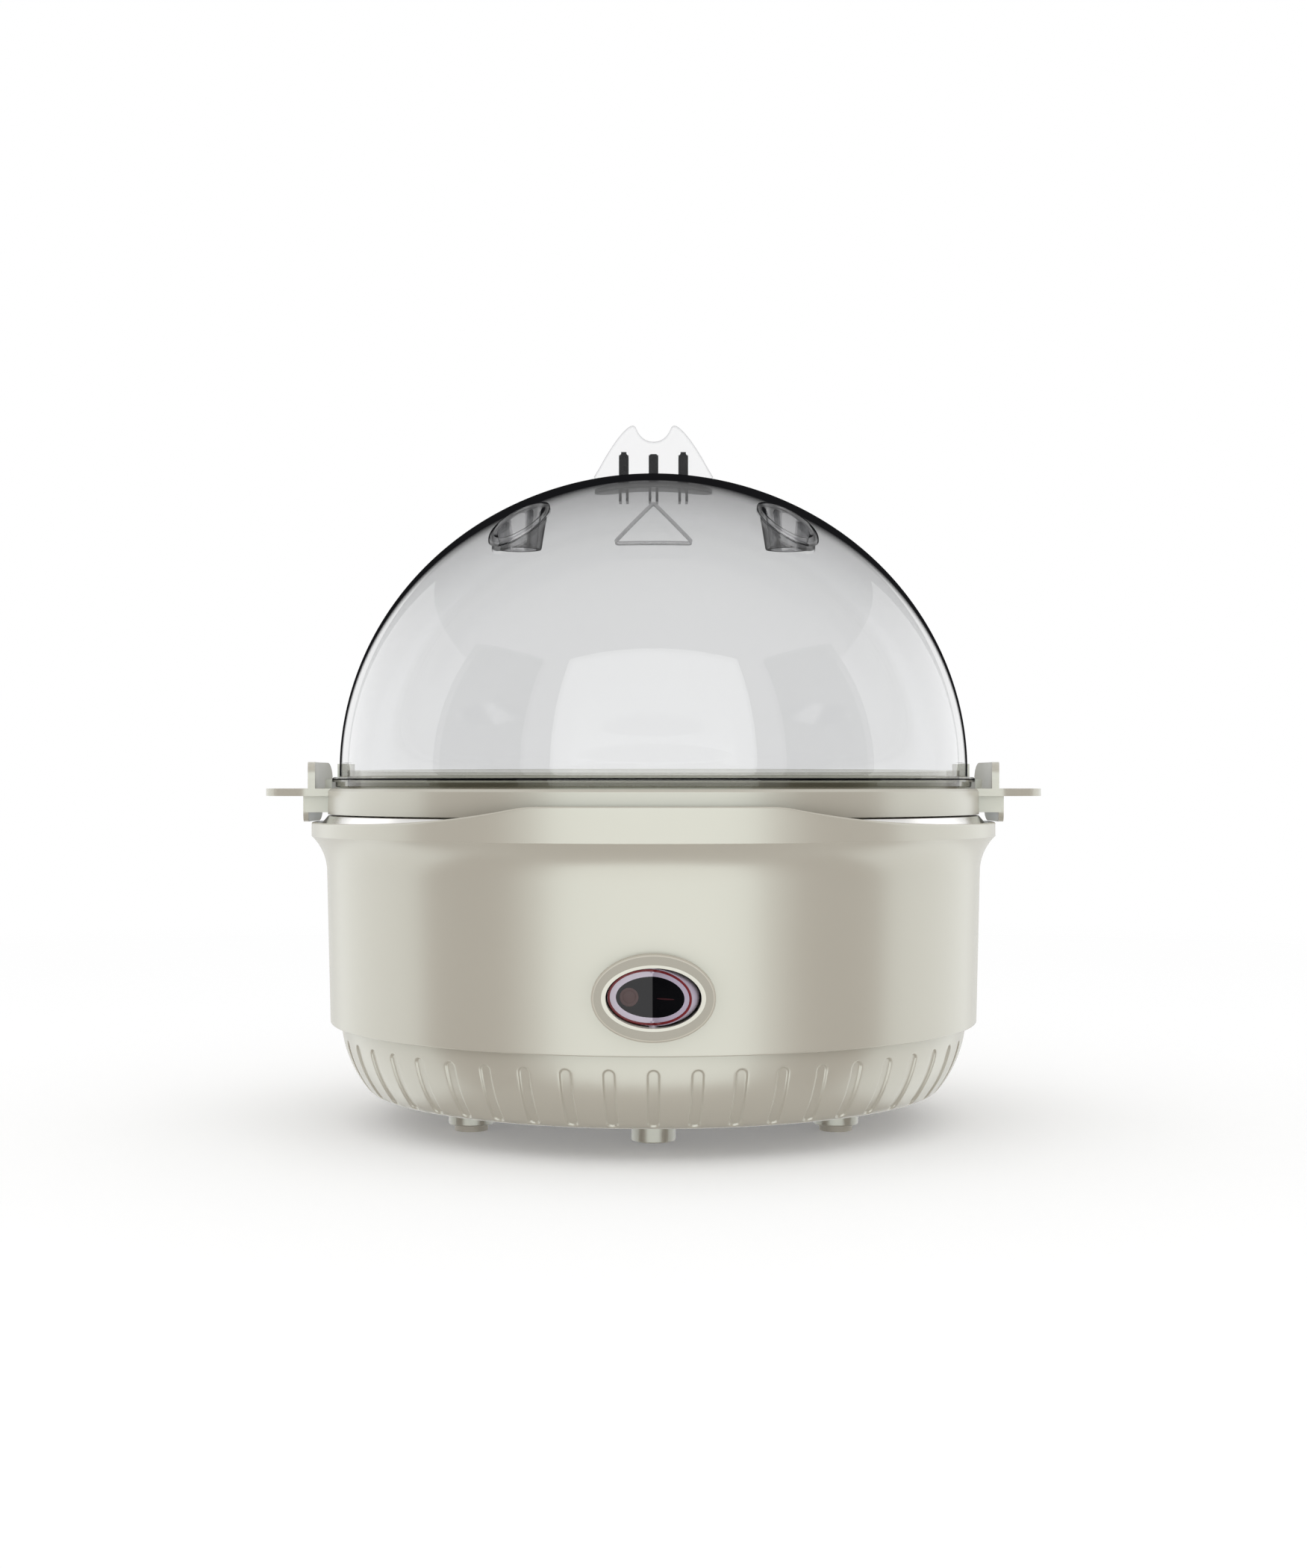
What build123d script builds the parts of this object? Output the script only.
from build123d import *
import os
from math import cos, hypot, pi, radians, sin, sqrt, tan

# Electric egg cooker: a round base on three feet, a lift-off egg tray and a lift-off dome lid.
# Millimetres. The floor is z = 0, the axis of the dome is Z, and the switch faces -Y.

os.makedirs("parts", exist_ok=True)

# Clearances
seat_gap = 0.3  # between a piece that lifts off and what it rests on
slip_gap = 0.1  # round a piece that is pushed into another and stays there
pin_play = 0.05  # radial play of the rocker's pins
lug_gap = 0.5  # round a locating lug of the tray, inside the notch of the dome
skirt_gap = 0.4  # between the lower housing and the skirt that hangs round it

# The widest round of the base: the large radii of the other pieces follow from it
rim_radius = 82.9

# Feet and lower housing
pad_height = 1.5
pad_radius = 3.85
pad_peg_radius = 2.0
pad_peg_length = 1.0
boss_height = 3.1
boss_radius = 5.25
foot_count = 3
front_boss_radius = 4.9
front_boss_height = 2.9
wall = 2.2
seam_inset = 7.1  # from the rim in to the lower housing
seam_radius = rim_radius - seam_inset
foot_inset = 26.6  # from the lower housing's radius in to the circle of the feet
foot_circle = seam_radius - foot_inset
bowl_arc_radius = 27.0
bowl_arc_top = 3.2  # degrees from level where the side arc meets the seam
bowl_arc_bottom = 46.0  # degrees from level where the corner arc takes over
bowl_corner_radius = 4.6
spigot_height = 7.2
pocket_count = 50
pocket_width = 2.9
pocket_depth = 0.5
pocket_below_seam = 3.2
pocket_above_base = 2.2

# Upper housing
housing_height = 52.3  # from the seam to the crest of the rim
flare_reach = 3.7  # how far the rim stands out beyond the wall below it
housing_radius = rim_radius - flare_reach
rim_wall = 1.6
rim_edge = 0.7
band_height = 7.6
flare_height = 8.8
crest_half_width = 27.4
crest_fall = 4.4  # how much lower the rim lies beside the handles
crest_run = 29.0  # sideways length of the fall
ledge_thickness = 2.4
ledge_width = 6.4
stop_rib_width = 2.4
stop_rib_height = 1.6
screw_inset = 17.8  # from the lower housing's radius in to the circle of the screws
screw_circle = seam_radius - screw_inset
screw_count = 4
post_radius = 4.0
post_top_drop = 24.0  # from the ledge's face down to the top of the screw posts
post_base = 7.4  # from the underside up to where post and lower boss meet
screw_radius = 1.5
screw_head_radius = 2.9
screw_head_height = 2.0
screw_length = 12.0
screw_floor = 2.0
boss_wall = 1.6
web_thickness = 2.0

# Water bowl and what hangs below it
sheet = 0.8
flange_drop = 2.8  # from the crest of the rim down to the flange of the bowl
bowl_play = 0.3  # between the edge of the bowl and the rim
flange_edge_width = 2.1
flange_width = 5.2
bowl_shoulder = 2.3  # from the flat flange in to the foot of the slope below it
bowl_taper = 11.4  # from there in to the edge of the floor
flange_edge_radius = rim_radius - rim_wall - bowl_play
flange_radius = flange_edge_radius - flange_edge_width
flange_inner_radius = flange_radius - flange_width
bowl_wall_radius = flange_inner_radius - bowl_shoulder
bowl_floor_radius = bowl_wall_radius - bowl_taper
flange_cone = 2.5
bowl_depth = 19.3
bowl_bend = 4.0
gasket_height = 1.0
gasket_width = 3.4
thermostat_circle = 22.0
thermostat_radius = 8.0
thermostat_height = 8.0
thermostat_tab_width = 6.3
thermostat_tab_length = 7.0
element_room = 8.0  # from the thermostat out to the middle of the tube
element_circle = thermostat_circle + thermostat_radius + element_room
element_radius = 3.25
plate_margin = 14.0  # from the middle of the tube out to the edge of the plate
plate_radius = element_circle + plate_margin
plate_thickness = 2.0
element_gap = 50.0  # degrees left open at the back
element_flat = 0.6
element_leg = 9.0
bead_radius = 2.3
bead_length = 4.0
cold_pin_radius = 1.2
cold_pin_length = 6.0
stud_radius = 2.5
stud_length = 15.5
bridge_inset = 9.2  # from the housing's radius in to the end of the bridge
bridge_half_length = housing_radius - bridge_inset
bridge_width = 12.0
bridge_thickness = 1.5
bridge_drop = 11.2  # from the heat plate down to the bridge
bridge_boss_width = 10.0
bridge_boss_length = 12.0
bridge_boss_height = 7.0
nut_flats = 8.0
nut_height = 4.0
strap_width = 7.0
strap_thickness = 0.8
strap_half_length = 15.2
fuse_circle = 22.0
fuse_radius = 2.0
fuse_length = 12.0
fuse_clip_thickness = 0.6
fuse_clip_width = 7.0

# Egg tray
tray_play = 2.3  # between the tray's skirt and the rim
tray_radius = rim_radius - rim_wall - tray_play
tray_plate = 1.8
tray_skirt_height = 6.1
tray_skirt_wall = 2.0
seat_count = 6
seat_inset = 31.0  # from the edge of the tray in to the circle of the seats
seat_circle = tray_radius - seat_inset
seat_top_radius = 19.5
seat_bottom_radius = 15.5
seat_depth = 8.7
seat_wall = 1.5
steam_hole_radius = 3.4
steam_hole_circle = seat_circle / sqrt(3)  # midway between three seats
drip_hole_radius = 4.2
drip_hole_inset = 15.5  # from the edge of the tray in to the outer row of holes
drip_hole_circle = tray_radius - drip_hole_inset
centring_play = 3.1  # between the rib below the tray and the flange of the bowl
centring_rib_radius = flange_inner_radius - centring_play
centring_rib_wall = 1.4
centring_rib_depth = 6.0
dome_rib_height = 1.4
dome_rib_wall = 1.4
handle_length = 15.0  # from the edge of the tray out to the tip of a handle
handle_reach = tray_radius + handle_length
handle_half_width = 14.0
tab_tip_half_width = 9.5
tab_corner = 6.0
guard_radius = tray_radius + 4.8  # outer face of the guard above the tab, round the tray's axis
guard_wall = 1.7
guard_height = 6.4
guard_corner = 4.0
drop_radius = tray_radius + 5.9  # outer face of the guard below the tab
drop_wall = 1.2
drop_half_width = 11.3
drop_height = 6.2
drop_corner = 3.4
drop_web = 1.5
drop_web_height = 3.9
stop_radius = tray_radius + 1.0  # low ridge outside the dome's flange
stop_wall = 1.6
stop_half_width = 5.0
stop_height = 2.2
lug_inner = tray_radius - 5.2
lug_outer = tray_radius - 1.9
lug_half_width = 3.2
lug_height = 6.0

# Dome lid
dome_height = 72.2
dome_wall = 1.9
dome_foot = 1.6  # upright wall between flange and dome
dome_flange_inset = 1.0  # from the edge of the tray in to the dome's flange
dome_flange_radius = tray_radius - dome_flange_inset
dome_flange_body = dome_flange_radius - 0.8
dome_radius = dome_flange_radius - 1.75
dome_flange_height = 2.4
dome_flange_lip = 1.1
vent_side = 30.7
vent_front = 36.0
vent_top_radius = 6.25
vent_bottom_radius = 5.1
vent_bore_radius = 3.95
vent_drop = 6.3  # from the dome's skin down to the mouth of the tube
vent_lip_radius = 7.65
vent_lip_height = 0.8
vent_cup_radius = 5.1

# Finger grip, its clips and the plate below the skin
grip_height = 12.8  # above the top of the dome
grip_half_width = 14.6
grip_shoulder = 10.4
grip_tip = 5.0  # from the middle out to the highest point of each horn
grip_thickness = 2.0
grip_notch_radius = 3.9
clip_pitch = 7.27
clip_width = 2.35
clip_depth = 5.0
clip_height = 5.2
clip_shoulder = 0.5
clip_cap_width = 1.3
clip_cap_height = 0.5
clip_leg_width = 0.64
clip_leg_drop = 3.6
plate_half_length = 14.4
plate_half_width = 5.0
backing_thickness = 0.9

# Switch
switch_rise = 12.5  # from the seam up to the centre of the switch
bezel_half_width = 13.0
bezel_half_height = 9.24
bezel_proud = 2.3
bezel_lip = 0.5
bezel_dish = 0.8  # depth of the dished ring in the bezel's face
bezel_ring_half_width = 10.9
bezel_ring_half_height = 6.9
opening_half_width = 10.0
opening_half_height = 6.3
collar_wall = 1.5
collar_depth = 7.0
rocker_gap = 0.3  # between the rocker and its opening
rocker_pivot_depth = 3.9  # from the bezel's face in to the rocker's axis
rocker_tilt = 15.0  # degrees to each side of the middle
rocker_vertex = 0.8  # from the axis out to the valley of the two facets
rocker_pin_radius = 1.0
rocker_pin_length = 1.2
rocker_face_thickness = 0.6
rocker_face_half_width = 7.4
rocker_face_half_height = 4.3
switch_body_depth = 18.0
switch_body_wall = 1.5
switch_terminal_width = 4.8
switch_terminal_thickness = 0.8
switch_terminal_length = 7.5
neon_radius = 2.0
neon_length = 9.0

# Mains entry
gland_height = 41.0
gland_bore_radius = 3.3
gland_neck_radius = 5.6
gland_flange_radius = 7.4
gland_flange_thickness = 2.0
gland_inner_flange = 1.6
gland_seat_depth = 0.4
block_half_length = 15.0
block_width = 12.0
block_height = 11.0
block_distance = 40.0
block_way_pitch = 9.6
block_way_radius = 1.7
lead_radius = 1.1
lead_bend = 5.0

# Levels above the floor, all built up from the sizes above
base_z = pad_height + boss_height
arc_rise = bowl_arc_radius * (sin(radians(bowl_arc_bottom)) - sin(radians(bowl_arc_top)))
seam_z = base_z + arc_rise + bowl_corner_radius * (1 - sin(radians(bowl_arc_bottom)))
spigot_z = seam_z + spigot_height
crest_z = seam_z + housing_height
band_z = crest_z - band_height
flare_z = band_z - flare_height
flange_z = crest_z - flange_drop
edge_run = flange_edge_radius - flange_radius
ledge_z = flange_z - flange_cone - sheet * edge_run / hypot(edge_run, flange_cone) - gasket_height
bowl_floor_z = flange_z - bowl_depth
heater_z = bowl_floor_z - sheet
plate_z = heater_z - plate_thickness
element_z = plate_z - element_radius + element_flat
bridge_z = plate_z - bridge_drop
tray_foot_z = flange_z + seat_gap
tray_z = tray_foot_z + tray_skirt_height
dome_flange_z = tray_z + seat_gap
flange_top_z = dome_flange_z + dome_flange_height
equator_z = flange_top_z + dome_foot
dome_top_z = equator_z + dome_height
switch_z = seam_z + switch_rise

# Radii and places that follow from the sizes above
skirt_radius = seam_radius + skirt_gap + wall
rim_inner = rim_radius - rim_wall
ledge_inner = rim_inner - ledge_width
bowl_centre_r = seam_radius - bowl_arc_radius * cos(radians(bowl_arc_top))
bowl_centre_z = seam_z + bowl_arc_radius * sin(radians(bowl_arc_top))
corner_centre_r = bowl_centre_r + (bowl_arc_radius - bowl_corner_radius) * cos(radians(bowl_arc_bottom))
corner_centre_z = base_z + bowl_corner_radius
dome_inner = dome_radius - dome_wall
foot_turn = 90.0  # one foot stands at the back
screw_turn = 45.0


def dome_surface_z(radius, inset=0.0):
    """Height of the dome's skin at a distance from the axis, inset mm inside the outer face."""
    reach = dome_radius - inset
    return equator_z + (dome_height - inset) * sqrt(1 - (radius / reach) ** 2)


def wall_radius(z):
    """Outer radius of the upper housing's tapered wall at a height."""
    return skirt_radius + (housing_radius - skirt_radius) * (z - seam_z) / (flare_z - seam_z)


def lower_outline(inset):
    """Half outline of the lower housing up to the seam, inset mm inside its outer face."""
    Line((0, base_z + inset), (corner_centre_r, base_z + inset))
    CenterArc((corner_centre_r, corner_centre_z), bowl_corner_radius - inset, -90, 90 - bowl_arc_bottom)
    CenterArc(
        (bowl_centre_r, bowl_centre_z),
        bowl_arc_radius - inset,
        -bowl_arc_bottom,
        bowl_arc_bottom - bowl_arc_top,
    )


def arc_end(inset):
    """Point where the side arc of the lower housing ends at the seam."""
    reach = bowl_arc_radius - inset
    return (
        bowl_centre_r + reach * cos(radians(bowl_arc_top)),
        bowl_centre_z - reach * sin(radians(bowl_arc_top)),
    )


front_y = -wall_radius(switch_z)
bezel_y = front_y - bezel_proud
collar_end_y = bezel_y + collar_depth
pivot_y = bezel_y + rocker_pivot_depth
rocker_radius = opening_half_width - rocker_gap
rocker_half_height = opening_half_height - rocker_gap
switch_notch_half_width = opening_half_width + collar_wall + seat_gap
switch_notch_half_height = opening_half_height + collar_wall + seat_gap
gland_seat_y = wall_radius(gland_height) - gland_seat_depth
gland_inner_y = sqrt((wall_radius(gland_height) - wall) ** 2 - gland_flange_radius**2)

# Skin between the outer face of the lower housing and the floor of its pockets
with BuildPart() as pocket_skin:
    with BuildSketch(Plane.XZ):
        with BuildLine():
            lower_outline(pocket_depth)
            Polyline(
                arc_end(pocket_depth),
                (seam_radius + wall, seam_z),
                (seam_radius + wall, base_z - wall),
                (0, base_z - wall),
                (0, base_z + pocket_depth),
            )
        make_face()
    revolve(axis=Axis.Z)

pocket_low = base_z + pocket_above_base
pocket_high = seam_z - pocket_below_seam
pocket_plane = Plane(origin=(0, 0, (pocket_low + pocket_high) / 2), x_dir=(0, 0, 1), z_dir=(0, -1, 0))

with BuildPart() as pocket_cutter:
    with BuildSketch(pocket_plane.offset(corner_centre_r - 2 * bowl_corner_radius)):
        SlotOverall(pocket_high - pocket_low, pocket_width)
    extrude(amount=seam_radius)
    add(pocket_skin.part, mode=Mode.INTERSECT)

# Lower housing: bowl with a ring of pockets, foot bosses and screw bosses
with BuildPart() as lower_housing:
    with BuildSketch(Plane.XZ):
        with BuildLine():
            lower_outline(0)
            Polyline(arc_end(0), (seam_radius, spigot_z), (seam_radius - wall, spigot_z), arc_end(wall))
        with BuildLine():
            lower_outline(wall)
            Line((0, base_z + wall), (0, base_z))
        make_face()
    revolve(axis=Axis.Z)
    with PolarLocations(0, pocket_count, start_angle=0):
        add(pocket_cutter.part, mode=Mode.SUBTRACT)
    with BuildSketch(Plane.XY.offset(pad_height)):
        with PolarLocations(foot_circle, foot_count, start_angle=foot_turn):
            Circle(boss_radius)
    extrude(amount=boss_height + wall / 2)
    with BuildSketch(Plane.XY.offset(base_z - front_boss_height)):
        with Locations((0, -foot_circle)):
            Circle(front_boss_radius)
    extrude(amount=front_boss_height + wall / 2)
    with BuildSketch(Plane.XY.offset(base_z + wall / 2)):
        with PolarLocations(screw_circle, screw_count, start_angle=screw_turn):
            Circle(screw_head_radius + slip_gap + boss_wall)
    extrude(amount=post_base - wall / 2)
    with Locations((0, -seam_radius, switch_z - switch_notch_half_height)):
        Box(
            2 * switch_notch_half_width,
            4 * wall,
            spigot_height,
            align=(Align.CENTER, Align.CENTER, Align.MIN),
            mode=Mode.SUBTRACT,
        )
    with Locations(Plane.XY.offset(base_z).rotated((180, 0, 0))):
        with PolarLocations(screw_circle, screw_count, start_angle=-screw_turn):
            CounterBoreHole(
                radius=screw_radius + slip_gap,
                counter_bore_radius=screw_head_radius + slip_gap,
                counter_bore_depth=post_base - screw_floor,
                depth=post_base + wall,
            )
    with Locations(Plane.XY.offset(pad_height).rotated((180, 0, 0))):
        with PolarLocations(foot_circle, foot_count, start_angle=-foot_turn):
            Hole(radius=pad_peg_radius, depth=pad_peg_length)
lower_housing.part.label = "lower_housing"
export_step(lower_housing.part, "parts/lower_housing.step")

# Foot pads: three soft buttons pegged into the foot bosses
with BuildPart() as foot_pads:
    with PolarLocations(foot_circle, foot_count, start_angle=foot_turn):
        Cylinder(pad_radius, pad_height, align=(Align.CENTER, Align.CENTER, Align.MIN))
    with Locations((0, 0, pad_height)):
        with PolarLocations(foot_circle, foot_count, start_angle=foot_turn):
            Cylinder(pad_peg_radius, pad_peg_length, align=(Align.CENTER, Align.CENTER, Align.MIN))
foot_pads.part.label = "foot_pads"
export_step(foot_pads.part, "parts/foot_pads.step")

# Upper housing: tapered wall, flared rim with a raised front and back, ledge, screw posts
post_z = base_z + post_base
post_top_z = ledge_z - post_top_drop
with BuildPart() as upper_housing:
    with BuildSketch(Plane.XZ):
        with BuildLine():
            Polyline((skirt_radius - wall, seam_z), (skirt_radius, seam_z), (housing_radius, flare_z))
            flare = TangentArc(
                (housing_radius, flare_z), (rim_radius - rim_edge / 2, band_z - rim_edge / 2), tangent=(0, 1)
            )
            Polyline(
                flare @ 1,
                (rim_radius, band_z + rim_edge),
                (rim_radius, crest_z - rim_edge),
                (rim_radius - rim_edge, crest_z),
                (rim_inner, crest_z),
                (rim_inner, ledge_z),
                (ledge_inner, ledge_z),
                (ledge_inner, ledge_z - ledge_thickness),
                (housing_radius - wall, ledge_z - 2 * ledge_thickness),
                (housing_radius - wall, flare_z),
                (skirt_radius - wall, seam_z),
            )
        make_face()
    revolve(axis=Axis.Z)
    with BuildSketch(Plane.XY.offset(spigot_z)):
        Circle(skirt_radius - wall / 2)
        Circle(skirt_radius - wall - stop_rib_width, mode=Mode.SUBTRACT)
        with Locations((0, -skirt_radius)):
            Rectangle(2 * switch_notch_half_width, 6 * wall, mode=Mode.SUBTRACT)
    extrude(amount=stop_rib_height)
    with BuildSketch(Plane.XY.offset(post_z)):
        with PolarLocations(screw_circle, screw_count, start_angle=screw_turn):
            Circle(post_radius)
    extrude(amount=post_top_z - post_z)
    web_length = skirt_radius - wall / 2 - screw_circle
    with BuildSketch(Plane.XY.offset(spigot_z)):
        with PolarLocations(screw_circle + web_length / 2, screw_count, start_angle=screw_turn):
            Rectangle(web_length, web_thickness)
    extrude(amount=post_top_z - spigot_z)
    boss_reach = housing_radius - wall / 2
    with BuildSketch(Plane.XY.offset(bridge_z)):
        with PolarLocations(boss_reach - bridge_boss_length / 2, 2):
            Rectangle(bridge_boss_length, bridge_boss_width)
    extrude(amount=bridge_boss_height)
    with Locations(Plane.XY.offset(post_z).rotated((180, 0, 0))):
        with PolarLocations(screw_circle, screw_count, start_angle=-screw_turn):
            Hole(radius=screw_radius, depth=screw_length)
    with BuildSketch(Plane.XZ):
        for side in (-1, 1):
            with BuildLine():
                fall = Spline(
                    (side * crest_half_width, crest_z),
                    (side * (crest_half_width + crest_run * 0.47), crest_z - crest_fall * 0.55),
                    (side * (crest_half_width + crest_run), crest_z - crest_fall * 0.91),
                    (side * (rim_radius + rim_edge), crest_z - crest_fall),
                )
                Polyline(
                    fall @ 1,
                    (side * (rim_radius + rim_edge), crest_z + rim_edge),
                    (side * crest_half_width, crest_z + rim_edge),
                    fall @ 0,
                )
            make_face()
    extrude(amount=rim_radius + rim_edge, both=True, mode=Mode.SUBTRACT)
    with BuildSketch(Plane.XZ.offset(-collar_end_y)):
        with Locations((0, switch_z)):
            Ellipse(
                opening_half_width + collar_wall + slip_gap,
                opening_half_height + collar_wall + slip_gap,
            )
    extrude(amount=collar_depth, mode=Mode.SUBTRACT)
    with Locations(Plane(origin=(0, gland_seat_y, gland_height), x_dir=(-1, 0, 0), z_dir=(0, 1, 0))):
        Cylinder(
            gland_flange_radius + slip_gap,
            2 * gland_seat_depth,
            align=(Align.CENTER, Align.CENTER, Align.MIN),
            mode=Mode.SUBTRACT,
        )
        Hole(radius=gland_neck_radius + slip_gap, depth=2 * wall)
upper_housing.part.label = "upper_housing"
export_step(upper_housing.part, "parts/upper_housing.step")

# Housing screws: four pan heads in the counterbores of the lower housing
screw_seat_z = base_z + post_base - screw_floor
with BuildPart() as housing_screws:
    with Locations((0, 0, screw_seat_z)):
        with PolarLocations(screw_circle, screw_count, start_angle=screw_turn):
            Cylinder(screw_head_radius, screw_head_height, align=(Align.CENTER, Align.CENTER, Align.MAX))
            Cylinder(screw_radius, screw_length, align=(Align.CENTER, Align.CENTER, Align.MIN))
housing_screws.part.label = "housing_screws"
export_step(housing_screws.part, "parts/housing_screws.step")

# Water bowl: drawn steel dish with a flat flange and a conical edge
with BuildPart() as water_bowl:
    with BuildSketch(Plane.XZ):
        with BuildLine():
            FilletPolyline(
                (0, bowl_floor_z),
                (bowl_floor_radius, bowl_floor_z),
                (bowl_wall_radius, flange_z - 2 * flange_cone),
                (flange_inner_radius, flange_z),
                (flange_radius, flange_z),
                (flange_edge_radius, flange_z - flange_cone),
                radius=(bowl_bend, bowl_bend, sheet, sheet / 2),
            )
            offset(amount=sheet, side=Side.RIGHT)
        make_face()
    revolve(axis=Axis.Z)
water_bowl.part.label = "water_bowl"
export_step(water_bowl.part, "parts/water_bowl.step")

# Bowl gasket: flat ring between the ledge and the edge of the water bowl
with BuildPart() as bowl_gasket:
    with BuildSketch(Plane.XY.offset(ledge_z)):
        Circle(rim_inner - slip_gap)
        Circle(rim_inner - slip_gap - gasket_width, mode=Mode.SUBTRACT)
    extrude(amount=gasket_height)
bowl_gasket.part.label = "bowl_gasket"
export_step(bowl_gasket.part, "parts/bowl_gasket.step")

# Heat plate: aluminium disc brazed under the bowl's floor
with BuildPart() as heat_plate:
    with BuildSketch(Plane.XY.offset(plate_z)):
        Circle(plate_radius)
    extrude(amount=plate_thickness)
heat_plate.part.label = "heat_plate"
export_step(heat_plate.part, "parts/heat_plate.step")

# Heating element: tube bent round the plate, flattened on top, with two legs at the back
leg_turns = (90 - element_gap / 2, 90 + element_gap / 2)
leg_places = [
    (element_circle * cos(radians(turn)), element_circle * sin(radians(turn))) for turn in leg_turns
]
leg_across = (cos(radians(leg_turns[1])), sin(radians(leg_turns[1])), 0)
leg_along = (leg_across[1], -leg_across[0], 0)
with BuildPart() as heating_element:
    with BuildSketch(Plane(origin=(0, 0, 0), x_dir=leg_across, z_dir=leg_along)):
        with Locations((element_circle, element_z)):
            Circle(element_radius)
    revolve(axis=Axis.Z, revolution_arc=360 - element_gap)
    with BuildSketch(Plane.XY.offset(element_z - element_leg)):
        with Locations(*leg_places):
            Circle(element_radius)
    extrude(amount=element_leg + element_radius)
    split(bisect_by=Plane.XY.offset(plate_z), keep=Keep.BOTTOM)
heating_element.part.label = "heating_element"
export_step(heating_element.part, "parts/heating_element.step")

# Cold pins with their ceramic beads, one below each leg of the element
with BuildPart() as element_pins:
    with Locations(*[(x, y, element_z - element_leg) for x, y in leg_places]):
        Cylinder(bead_radius, bead_length, align=(Align.CENTER, Align.CENTER, Align.MAX))
        Cylinder(
            cold_pin_radius, bead_length + cold_pin_length, align=(Align.CENTER, Align.CENTER, Align.MAX)
        )
element_pins.part.label = "element_pins"
export_step(element_pins.part, "parts/element_pins.step")

# Centre stud of the water bowl
with BuildPart() as bowl_stud:
    with Locations((0, 0, plate_z)):
        Cylinder(stud_radius, stud_length, align=(Align.CENTER, Align.CENTER, Align.MAX))
    chamfer(bowl_stud.edges().sort_by(Axis.Z)[0], stud_radius / 5)
bowl_stud.part.label = "bowl_stud"
export_step(bowl_stud.part, "parts/bowl_stud.step")

# Clamp bridge: steel strip that the nut pulls up against the housing's two bosses
with BuildPart() as clamp_bridge:
    with BuildSketch(Plane.XY.offset(bridge_z - bridge_thickness)):
        SlotOverall(2 * bridge_half_length, bridge_width)
        Circle(stud_radius + slip_gap, mode=Mode.SUBTRACT)
    extrude(amount=bridge_thickness)
clamp_bridge.part.label = "clamp_bridge"
export_step(clamp_bridge.part, "parts/clamp_bridge.step")

# Clamp nut
with BuildPart() as clamp_nut:
    with BuildSketch(Plane.XY.offset(bridge_z - bridge_thickness - nut_height)):
        RegularPolygon(nut_flats / 2, 6, major_radius=False)
        Circle(stud_radius, mode=Mode.SUBTRACT)
    extrude(amount=nut_height)
clamp_nut.part.label = "clamp_nut"
export_step(clamp_nut.part, "parts/clamp_nut.step")

# Thermostat: round body with two tabs, in front of the stud
with BuildPart() as thermostat:
    with Locations((0, -thermostat_circle, plate_z)):
        Cylinder(thermostat_radius, thermostat_height, align=(Align.CENTER, Align.CENTER, Align.MAX))
    with Locations((0, -thermostat_circle, plate_z - thermostat_height)):
        with GridLocations(thermostat_radius, 1, 2, 1):
            Box(
                sheet,
                thermostat_tab_width,
                thermostat_tab_length,
                align=(Align.CENTER, Align.CENTER, Align.MAX),
            )
thermostat.part.label = "thermostat"
export_step(thermostat.part, "parts/thermostat.step")

# Thermostat strap: hat-shaped sheet across the thermostat, screwed to the heat plate
strap_z = plate_z - thermostat_height
with BuildPart() as thermostat_strap:
    with BuildSketch(Plane.XZ.offset(thermostat_circle - strap_width / 2)):
        with BuildLine():
            Polyline(
                (-strap_half_length, plate_z),
                (-thermostat_radius - slip_gap, plate_z),
                (-thermostat_radius - slip_gap, strap_z),
                (-thermostat_radius + strap_thickness * 2, strap_z),
                (-thermostat_radius + strap_thickness * 2, strap_z - strap_thickness),
                (-thermostat_radius - slip_gap - strap_thickness, strap_z - strap_thickness),
                (-thermostat_radius - slip_gap - strap_thickness, plate_z - strap_thickness),
                (-strap_half_length, plate_z - strap_thickness),
                close=True,
            )
        make_face()
        mirror(about=Plane.YZ)
    extrude(amount=strap_width)
thermostat_strap.part.label = "thermostat_strap"
export_step(thermostat_strap.part, "parts/thermostat_strap.step")

# Thermal fuse: small sleeve laid under the heat plate behind the stud
fuse_z = plate_z - fuse_radius
with BuildPart() as thermal_fuse:
    with Locations(Plane(origin=(0, fuse_circle, fuse_z), x_dir=(0, 1, 0), z_dir=(1, 0, 0))):
        Cylinder(fuse_radius, fuse_length)
thermal_fuse.part.label = "thermal_fuse"
export_step(thermal_fuse.part, "parts/thermal_fuse.step")

# Fuse clip: bent sheet that presses the fuse against the plate
clip_inner = fuse_radius + slip_gap
clip_outer = clip_inner + fuse_clip_thickness
with BuildPart() as fuse_clip:
    with BuildSketch(Plane.YZ.offset(-fuse_clip_width / 2)):
        with Locations((fuse_circle, fuse_z)):
            Circle(clip_outer)
            Rectangle(2 * clip_outer, fuse_radius, align=(Align.CENTER, Align.MIN))
            Rectangle(2 * clip_inner, fuse_radius, align=(Align.CENTER, Align.MIN), mode=Mode.SUBTRACT)
            Circle(clip_inner, mode=Mode.SUBTRACT)
        with Locations((fuse_circle + clip_inner, plate_z)):
            Rectangle(clip_outer * 2, fuse_clip_thickness, align=(Align.MIN, Align.MAX))
    extrude(amount=fuse_clip_width)
    split(bisect_by=Plane.XY.offset(plate_z), keep=Keep.BOTTOM)
fuse_clip.part.label = "fuse_clip"
export_step(fuse_clip.part, "parts/fuse_clip.step")

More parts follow.
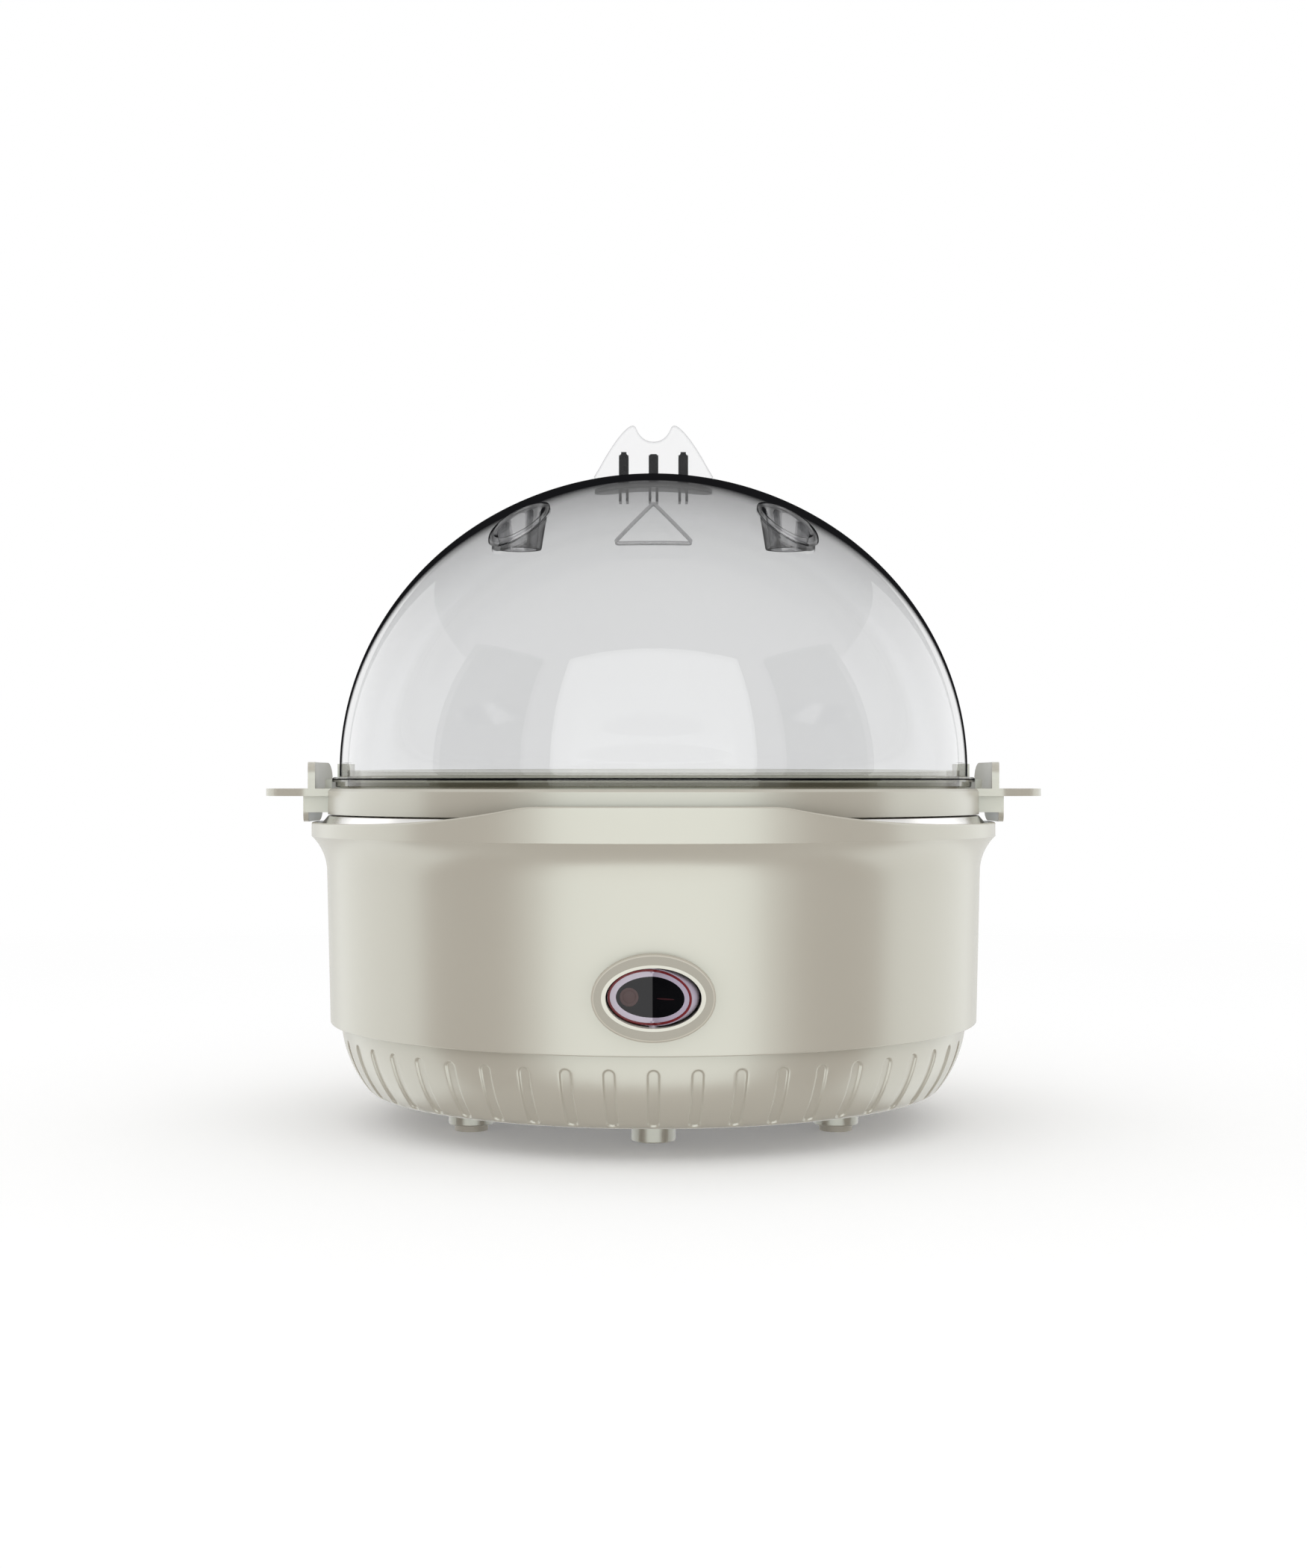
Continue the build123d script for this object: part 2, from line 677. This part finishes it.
# Switch bezel: oval flange with a dished face that follows the wall, and a collar through it
with BuildPart() as switch_bezel:
    with BuildSketch(Plane.XZ.offset(-front_y - bezel_proud)):
        with Locations((0, switch_z)):
            Ellipse(bezel_half_width, bezel_half_height)
    extrude(amount=2 * bezel_proud)
    fillet(switch_bezel.edges().sort_by(Axis.Y)[0], bezel_lip)
    with Locations((0, 0, seam_z)):
        Cone(
            skirt_radius,
            housing_radius,
            flare_z - seam_z,
            align=(Align.CENTER, Align.CENTER, Align.MIN),
            mode=Mode.SUBTRACT,
        )
    with BuildSketch(Plane.XZ.offset(-bezel_y)):
        with Locations((0, switch_z)):
            Ellipse(bezel_half_width - bezel_lip, bezel_half_height - bezel_lip)
            Ellipse(bezel_ring_half_width, bezel_ring_half_height, mode=Mode.SUBTRACT)
    extrude(amount=-bezel_dish, mode=Mode.SUBTRACT)
    with BuildSketch(Plane.XZ.offset(-collar_end_y)):
        with Locations((0, switch_z)):
            Ellipse(opening_half_width + collar_wall, opening_half_height + collar_wall)
    extrude(amount=collar_end_y - bezel_y - bezel_dish)
    with BuildSketch(Plane.XZ.offset(-collar_end_y)):
        with Locations((0, switch_z)):
            Ellipse(opening_half_width, opening_half_height)
    extrude(amount=collar_depth + bezel_proud, mode=Mode.SUBTRACT)
    with Locations((0, pivot_y, switch_z)):
        Cylinder(
            rocker_pin_radius + pin_play,
            2 * (opening_half_height + collar_wall + slip_gap),
            mode=Mode.SUBTRACT,
        )
switch_bezel.part.label = "switch_bezel"
export_step(switch_bezel.part, "parts/switch_bezel.step")

# Rocker: a turned oval with its face cut to a shallow valley, here tipped to its off side
rocker_floor = Plane(Location((0, pivot_y, switch_z), (0, 0, -rocker_tilt)))
rocker_front = Plane(origin=rocker_floor.origin, x_dir=rocker_floor.x_dir, z_dir=-rocker_floor.y_dir)
rocker_axis = Axis(rocker_floor.origin, (0, 0, 1))


def valley(inset):
    """Plan of the space in front of the two facets, inset mm below them."""
    side_y = inset - rocker_vertex - 2 * rocker_radius * tan(radians(rocker_tilt))
    Polyline(
        (0, inset - rocker_vertex),
        (2 * rocker_radius, side_y),
        (2 * rocker_radius, -3 * rocker_radius),
        (-2 * rocker_radius, -3 * rocker_radius),
        (-2 * rocker_radius, side_y),
        close=True,
    )


with BuildPart() as facet_space:
    with BuildSketch(rocker_floor.offset(-rocker_radius)):
        with BuildLine():
            valley(0)
        make_face()
    extrude(amount=2 * rocker_radius)

with BuildPart() as face_space:
    with BuildSketch(rocker_floor.offset(-rocker_radius)):
        with BuildLine():
            valley(rocker_face_thickness)
        make_face()
    extrude(amount=2 * rocker_radius)
    with BuildSketch(rocker_front.offset(-rocker_radius)):
        Ellipse(rocker_face_half_width, rocker_face_half_height)
    extrude(amount=3 * rocker_radius, mode=Mode.INTERSECT)

with BuildPart() as rocker:
    with BuildSketch(rocker_front):
        Ellipse(rocker_radius, rocker_half_height)
        Rectangle(
            rocker_radius, 2 * rocker_half_height, align=(Align.MAX, Align.CENTER), mode=Mode.SUBTRACT
        )
    revolve(axis=rocker_axis)
    add(facet_space.part, mode=Mode.SUBTRACT)
    add(face_space.part, mode=Mode.SUBTRACT)
    stub_length = rocker_pin_length + rocker_pin_radius
    stub_z = rocker_half_height + rocker_pin_length - stub_length / 2
    with Locations(rocker_floor):
        with Locations((0, 0, stub_z), (0, 0, -stub_z)):
            Cylinder(rocker_pin_radius, stub_length)
rocker.part.label = "rocker"
export_step(rocker.part, "parts/rocker.step")

# Rocker face: bent black plate let into the rocker
with BuildPart() as rocker_face:
    add(face_space.part)
    add(facet_space.part, mode=Mode.SUBTRACT)
rocker_face.part.label = "rocker_face"
export_step(rocker_face.part, "parts/rocker_face.step")

# Switch body: open box behind the collar, with a pocket for the back of the rocker
body_end_y = collar_end_y + switch_body_depth
with BuildPart() as switch_body:
    with BuildSketch(Plane.XZ.offset(-body_end_y)):
        with Locations((0, switch_z)):
            RectangleRounded(
                2 * (opening_half_width + collar_wall),
                2 * (opening_half_height + collar_wall),
                collar_wall,
            )
    extrude(amount=switch_body_depth)
    with BuildSketch(Plane.XZ.offset(-collar_end_y)):
        with Locations((0, switch_z)):
            RectangleRounded(2 * opening_half_width, 2 * opening_half_height, switch_body_wall / 2)
    extrude(amount=switch_body_wall - switch_body_depth, mode=Mode.SUBTRACT)
switch_body.part.label = "switch_body"
export_step(switch_body.part, "parts/switch_body.step")

# Switch terminals: three blades on the back of the switch body
with BuildPart() as switch_terminals:
    with Locations((0, body_end_y, switch_z)):
        with GridLocations(opening_half_width * 0.7, 1, 3, 1):
            Box(
                switch_terminal_thickness,
                switch_terminal_length,
                switch_terminal_width,
                align=(Align.CENTER, Align.MIN, Align.CENTER),
            )
switch_terminals.part.label = "switch_terminals"
export_step(switch_terminals.part, "parts/switch_terminals.step")

# Neon lamp that lights the rocker from behind
with BuildPart() as neon_lamp:
    neon_y = body_end_y - switch_body_wall - neon_radius - slip_gap
    with Locations(Plane(origin=(0, neon_y, switch_z), x_dir=(0, 1, 0), z_dir=(1, 0, 0))):
        Cylinder(neon_radius, neon_length)
    fillet(neon_lamp.edges(), neon_radius * 0.6)
neon_lamp.part.label = "neon_lamp"
export_step(neon_lamp.part, "parts/neon_lamp.step")

# Cord gland: flanged bush in the back wall, with its bore open to the outside
gland_foot = (0, gland_inner_y - gland_inner_flange, gland_height)
gland_plane = Plane(origin=gland_foot, x_dir=(-1, 0, 0), z_dir=(0, 1, 0))
gland_length = gland_seat_y + gland_flange_thickness - gland_inner_y + gland_inner_flange
with BuildPart() as cord_gland:
    with Locations(gland_plane):
        Cylinder(gland_neck_radius, gland_length, align=(Align.CENTER, Align.CENTER, Align.MIN))
        Cylinder(
            gland_flange_radius - slip_gap, gland_inner_flange, align=(Align.CENTER, Align.CENTER, Align.MIN)
        )
    with Locations(gland_plane.offset(gland_length)):
        Cylinder(gland_flange_radius, gland_flange_thickness, align=(Align.CENTER, Align.CENTER, Align.MAX))
    fillet(cord_gland.edges().sort_by(Axis.Y)[-1], gland_flange_thickness / 3)
    with Locations(gland_plane):
        Cylinder(
            gland_bore_radius, gland_length, align=(Align.CENTER, Align.CENTER, Align.MIN), mode=Mode.SUBTRACT
        )
cord_gland.part.label = "cord_gland"
export_step(cord_gland.part, "parts/cord_gland.step")

# Terminal block on the floor of the lower housing, with three ways that run front to back
block_z = base_z + wall
way_z = block_z + block_height / 2
with BuildPart() as terminal_block:
    with Locations((0, block_distance, block_z)):
        Box(2 * block_half_length, block_width, block_height, align=(Align.CENTER, Align.CENTER, Align.MIN))
    fillet(terminal_block.edges().filter_by(Axis.Z), block_way_radius)
    with Locations(Plane(origin=(0, block_distance, way_z), x_dir=(1, 0, 0), z_dir=(0, -1, 0))):
        with GridLocations(block_way_pitch, 1, 3, 1):
            Cylinder(block_way_radius, 2 * block_width, mode=Mode.SUBTRACT)
terminal_block.part.label = "terminal_block"
export_step(terminal_block.part, "parts/terminal_block.step")

# Internal leads, each from one contact to the next
way_y = block_distance - block_width / 2
way_end_y = way_y + 2 * lead_radius
blade_x = opening_half_width * 0.7
blade_y = body_end_y + switch_terminal_length
tab_x = thermostat_radius / 2
tab_z = plate_z - thermostat_height - thermostat_tab_length
pin_x, pin_y = leg_places[0]
pin_z = element_z - element_leg - bead_length - cold_pin_length
fuse_end = fuse_length / 2
lead_routes = {
    "supply_to_switch": (
        (-block_way_pitch, way_end_y, way_z),
        (-block_way_pitch, way_y - 12, way_z),
        (-26, 0, way_z + 1),
        (-20, -30, way_z + 9),
        (-blade_x, blade_y + 9, switch_z),
        (-blade_x, blade_y, switch_z),
    ),
    "switch_to_thermostat": (
        (blade_x, blade_y, switch_z),
        (blade_x, blade_y + 9, switch_z),
        (tab_x + 1, -thermostat_circle - 9, tab_z - 14),
        (tab_x, -thermostat_circle, tab_z - 13),
        (tab_x, -thermostat_circle, tab_z),
    ),
    "thermostat_to_fuse": (
        (-tab_x, -thermostat_circle, tab_z),
        (-tab_x, -thermostat_circle, tab_z - 9),
        (-16, -8, tab_z - 10),
        (-fuse_end - 9, fuse_circle - 2, tab_z - 6),
        (-fuse_end - 9, fuse_circle, fuse_z),
        (-fuse_end, fuse_circle, fuse_z),
    ),
    "fuse_to_element": (
        (fuse_end, fuse_circle, fuse_z),
        (fuse_end + 8, fuse_circle, fuse_z),
        (fuse_end + 8, fuse_circle + 1, pin_z - 5),
        (pin_x, pin_y, pin_z - 8),
        (pin_x, pin_y, pin_z),
    ),
    "element_to_supply": (
        (-pin_x, pin_y, pin_z),
        (-pin_x, pin_y, pin_z - 7),
        (-5, way_y - 10, pin_z - 8),
        (0, way_y - 12, way_z),
        (0, way_end_y, way_z),
    ),
    "earth": (
        (block_way_pitch, way_end_y, way_z),
        (block_way_pitch, way_y - 12, way_z),
        (12, 0, way_z + 2),
        (12, 0, bridge_z - bridge_thickness),
    ),
}
with BuildPart() as internal_leads:
    for route in lead_routes.values():
        with BuildLine():
            path = FilletPolyline(*route, radius=lead_bend)
        with BuildSketch(Plane(origin=path @ 0, z_dir=path % 0)):
            Circle(lead_radius)
        sweep(path=path)
internal_leads.part.label = "internal_leads"
export_step(internal_leads.part, "parts/internal_leads.step")

# Egg tray: flat plate with a turned-down skirt, seven conical seats, ribs, lugs and two handles
seat_places = [(0, 0)] + [
    (seat_circle * cos(2 * pi * i / seat_count), seat_circle * sin(2 * pi * i / seat_count))
    for i in range(seat_count)
]
half_pitch = 180 / seat_count


def sector(outer, inner, half_width):
    """Stretch of a flat ring on the +X side, cut off at half_width each side."""
    Circle(outer)
    Circle(inner, mode=Mode.SUBTRACT)
    Rectangle(outer, 2 * half_width, align=(Align.MIN, Align.CENTER), mode=Mode.INTERSECT)


with BuildPart() as guard_above:
    with BuildSketch(Plane.XY.offset(tray_z)):
        sector(guard_radius, guard_radius - guard_wall, handle_half_width)
    extrude(amount=guard_height)
    fillet(guard_above.edges().filter_by(Axis.X).group_by(Axis.Z)[-1], guard_corner)

with BuildPart() as guard_below:
    with BuildSketch(Plane.XY.offset(tray_z - tray_plate)):
        sector(drop_radius, drop_radius - drop_wall, drop_half_width)
    extrude(amount=-drop_height)
    fillet(guard_below.edges().filter_by(Axis.X).group_by(Axis.Z)[0], drop_corner)

with BuildPart() as handle:
    with BuildSketch(Plane.XY.offset(tray_z - tray_plate)):
        with BuildLine():
            FilletPolyline(
                (tray_radius - tray_skirt_wall, handle_half_width),
                (guard_radius, handle_half_width),
                (handle_reach, tab_tip_half_width),
                (handle_reach, -tab_tip_half_width),
                (guard_radius, -handle_half_width),
                (tray_radius - tray_skirt_wall, -handle_half_width),
                radius=(tab_corner, tab_corner, tab_corner, tab_corner),
            )
            Line(
                (tray_radius - tray_skirt_wall, -handle_half_width),
                (tray_radius - tray_skirt_wall, handle_half_width),
            )
        make_face()
    extrude(amount=tray_plate)
    add(guard_above.part)
    add(guard_below.part)
    with BuildSketch(Plane.XY.offset(tray_z - tray_plate)):
        with GridLocations(1, 2 * drop_half_width - drop_web, 1, 2):
            Rectangle(drop_radius, drop_web, align=(Align.MIN, Align.CENTER))
        Circle(drop_radius - drop_wall / 2, mode=Mode.INTERSECT)
        Circle(tray_radius - tray_skirt_wall / 2, mode=Mode.SUBTRACT)
    extrude(amount=-drop_web_height)
    with BuildSketch(Plane.XY.offset(tray_z)):
        sector(stop_radius, stop_radius - stop_wall, stop_half_width)
    extrude(amount=stop_height)
    with BuildSketch(Plane.XY.offset(tray_z)):
        with Locations(((lug_inner + lug_outer) / 2, 0)):
            Rectangle(lug_outer - lug_inner, 2 * lug_half_width)
    extrude(amount=lug_height)

with BuildPart() as egg_tray:
    with BuildSketch(Plane.XZ):
        with BuildLine():
            Polyline(
                (0, tray_z),
                (tray_radius - tray_plate / 3, tray_z),
                (tray_radius, tray_z - tray_plate / 3),
                (tray_radius, tray_foot_z),
                (tray_radius - tray_skirt_wall, tray_foot_z),
                (tray_radius - tray_skirt_wall, tray_z - tray_plate),
                (centring_rib_radius, tray_z - tray_plate),
                (centring_rib_radius, tray_z - centring_rib_depth),
                (centring_rib_radius - centring_rib_wall, tray_z - centring_rib_depth),
                (centring_rib_radius - centring_rib_wall, tray_z - tray_plate),
                (0, tray_z - tray_plate),
                close=True,
            )
        make_face()
    revolve(axis=Axis.Z)
    with Locations(*[(x, y, tray_z) for x, y in seat_places]):
        Cone(
            seat_bottom_radius + seat_wall,
            seat_top_radius + seat_wall,
            seat_depth,
            align=(Align.CENTER, Align.CENTER, Align.MAX),
        )
    with Locations(*[(x, y, tray_z) for x, y in seat_places]):
        Cone(
            seat_bottom_radius,
            seat_top_radius,
            seat_depth,
            align=(Align.CENTER, Align.CENTER, Align.MAX),
            mode=Mode.SUBTRACT,
        )
    with BuildSketch(Plane.XY.offset(tray_z)):
        with PolarLocations(steam_hole_circle, seat_count, start_angle=half_pitch):
            Circle(steam_hole_radius)
        with PolarLocations(drip_hole_circle, seat_count, start_angle=half_pitch):
            Circle(drip_hole_radius)
    extrude(amount=-tray_plate, mode=Mode.SUBTRACT)
    with BuildSketch(Plane.XY.offset(tray_z)):
        Circle(dome_inner - lug_gap)
        Circle(dome_inner - lug_gap - dome_rib_wall, mode=Mode.SUBTRACT)
    extrude(amount=dome_rib_height)
    add(handle.part)
    add(mirror(handle.part, about=Plane.YZ, mode=Mode.PRIVATE))
egg_tray.part.label = "egg_tray"
export_step(egg_tray.part, "parts/egg_tray.step")


def dome_solid_outline(inset):
    """Half outline of the solid dome inset mm inside the skin, down to the equator."""
    EllipticalCenterArc((0, equator_z), dome_radius - inset, dome_height - inset, 0, arc_size=90)
    Polyline((0, dome_height + equator_z - inset), (0, equator_z), (dome_radius - inset, equator_z))


with BuildPart() as dome_core:
    with BuildSketch(Plane.XZ):
        with BuildLine():
            dome_solid_outline(0)
        make_face()
    revolve(axis=Axis.Z)

with BuildPart() as vent_skin:
    with BuildSketch(Plane.XZ):
        with BuildLine():
            dome_solid_outline(-vent_lip_height)
        make_face()
        with BuildLine():
            dome_solid_outline(dome_wall / 2)
        make_face(mode=Mode.SUBTRACT)
    revolve(axis=Axis.Z)

vent_places = [(side * vent_side, -vent_front) for side in (-1, 1)]
vent_mouth_z = dome_surface_z(sqrt(vent_side**2 + vent_front**2)) - vent_drop
vent_reach = 3 * vent_drop

with BuildPart() as vent_lips:
    with Locations(*[(x, y, vent_mouth_z) for x, y in vent_places]):
        Cylinder(vent_lip_radius, vent_reach, align=(Align.CENTER, Align.CENTER, Align.MIN))
    add(vent_skin.part, mode=Mode.INTERSECT)

with BuildPart() as vent_tubes:
    with Locations(*[(x, y, vent_mouth_z) for x, y in vent_places]):
        Cone(
            vent_bottom_radius,
            vent_bottom_radius + (vent_top_radius - vent_bottom_radius) * vent_reach / vent_drop,
            vent_reach,
            align=(Align.CENTER, Align.CENTER, Align.MIN),
        )
    add(dome_core.part, mode=Mode.INTERSECT)

# Dome lid: smoke-clear shell with a flange, two steam vents, two notches and the clip slots
with BuildPart() as lid_dome:
    with BuildSketch(Plane.XZ):
        with BuildLine():
            EllipticalCenterArc((0, equator_z), dome_radius, dome_height, 0, arc_size=90)
            Line((0, dome_top_z), (0, dome_top_z - dome_wall))
            EllipticalCenterArc((0, equator_z), dome_inner, dome_height - dome_wall, 0, arc_size=90)
            Polyline(
                (dome_inner, equator_z),
                (dome_inner, dome_flange_z),
                (dome_flange_body, dome_flange_z),
                (dome_flange_body, flange_top_z - dome_flange_lip),
                (dome_flange_radius, flange_top_z - dome_flange_lip),
                (dome_flange_radius, flange_top_z),
                (dome_radius, flange_top_z),
                (dome_radius, equator_z),
            )
        make_face()
    revolve(axis=Axis.Z)
    add(vent_lips.part)
    add(vent_tubes.part)
    with Locations(*[(x, y, vent_mouth_z) for x, y in vent_places]):
        Cone(
            vent_bore_radius,
            vent_bore_radius + (vent_cup_radius - vent_bore_radius) * vent_reach / vent_drop,
            vent_reach,
            align=(Align.CENTER, Align.CENTER, Align.MIN),
            mode=Mode.SUBTRACT,
        )
    with Locations((0, 0, dome_flange_z)):
        Box(
            2 * (dome_flange_radius + lug_gap),
            2 * (lug_half_width + lug_gap),
            lug_height,
            align=(Align.CENTER, Align.CENTER, Align.MIN),
            mode=Mode.SUBTRACT,
        )
    with Locations((0, 0, dome_top_z)):
        with GridLocations(clip_pitch, 1, 3, 1):
            Box(clip_width + 2 * slip_gap, clip_depth + 2 * slip_gap, 3 * dome_wall, mode=Mode.SUBTRACT)
lid_dome.part.label = "lid_dome"
export_step(lid_dome.part, "parts/lid_dome.step")

# Finger grip: clear upright plate with two horns, cut to the dome and notched for the clips
grip_z = dome_top_z + grip_height
clip_top_z = dome_top_z + clip_height
grip_foot_z = dome_surface_z(grip_half_width)
with BuildPart() as lid_handle:
    with BuildSketch(Plane.XZ):
        with BuildLine():
            edge = Spline(
                (grip_tip, grip_z),
                (grip_shoulder, grip_z - grip_height * 0.39),
                (grip_half_width, grip_foot_z),
                tangents=((1, 0), (0.2, -1)),
            )
            Line(edge @ 1, (grip_half_width, grip_foot_z - dome_wall))
            Line((grip_half_width, grip_foot_z - dome_wall), (0, grip_foot_z - dome_wall))
            Line((0, grip_foot_z - dome_wall), (0, grip_z - grip_notch_radius))
            CenterArc((0, grip_z), grip_notch_radius, -90, 90)
            Line((grip_notch_radius, grip_z), (grip_tip, grip_z))
        make_face()
        mirror(about=Plane.YZ)
    extrude(amount=grip_thickness / 2, both=True)
    add(dome_core.part, mode=Mode.SUBTRACT)
    with Locations((0, 0, clip_top_z)):
        with GridLocations(clip_pitch, 1, 3, 1):
            Box(
                clip_width + 2 * slip_gap,
                2 * grip_thickness,
                2 * clip_height,
                align=(Align.CENTER, Align.CENTER, Align.MAX),
                mode=Mode.SUBTRACT,
            )
        with GridLocations(2 * clip_pitch, 1, 2, 1):
            Box(
                clip_cap_width + 2 * slip_gap,
                2 * grip_thickness,
                2 * (clip_cap_height + slip_gap),
                mode=Mode.SUBTRACT,
            )
lid_handle.part.label = "lid_handle"
export_step(lid_handle.part, "parts/lid_handle.step")

# Handle clips: three posts through grip and dome, forked below the skin
clip_root_z = dome_top_z - dome_wall - backing_thickness
with BuildPart() as handle_clips:
    with Locations((0, 0, clip_root_z)):
        with GridLocations(clip_pitch, 1, 3, 1):
            Box(
                clip_width,
                clip_depth,
                clip_top_z - clip_root_z,
                align=(Align.CENTER, Align.CENTER, Align.MIN),
            )
    chamfer(handle_clips.edges().filter_by(Axis.Y).group_by(Axis.Z)[-1], clip_shoulder)
    with Locations((0, 0, clip_top_z)):
        with GridLocations(2 * clip_pitch, 1, 2, 1):
            Box(
                clip_cap_width,
                clip_depth,
                2 * clip_cap_height,
            )
    with Locations((0, 0, clip_root_z)):
        with GridLocations(clip_pitch, 1, 3, 1):
            with GridLocations(clip_width - clip_leg_width, 1, 2, 1):
                Box(
                    clip_leg_width,
                    clip_depth,
                    clip_leg_drop,
                    align=(Align.CENTER, Align.CENTER, Align.MAX),
                )
handle_clips.part.label = "handle_clips"
export_step(handle_clips.part, "parts/handle_clips.step")

# Handle plate: thin plate that lies under the dome's skin and backs the grip
with BuildPart() as handle_plate:
    with BuildSketch(Plane.XZ):
        with BuildLine():
            dome_solid_outline(dome_wall)
        make_face()
        with BuildLine():
            dome_solid_outline(dome_wall + backing_thickness)
        make_face(mode=Mode.SUBTRACT)
    revolve(axis=Axis.Z)
    with BuildSketch(Plane.XY.offset(equator_z)):
        SlotOverall(2 * plate_half_length, 2 * plate_half_width)
        with GridLocations(clip_pitch, 1, 3, 1):
            Rectangle(clip_width + 2 * slip_gap, clip_depth + 2 * slip_gap, mode=Mode.SUBTRACT)
    extrude(amount=dome_height, mode=Mode.INTERSECT)
handle_plate.part.label = "handle_plate"
export_step(handle_plate.part, "parts/handle_plate.step")
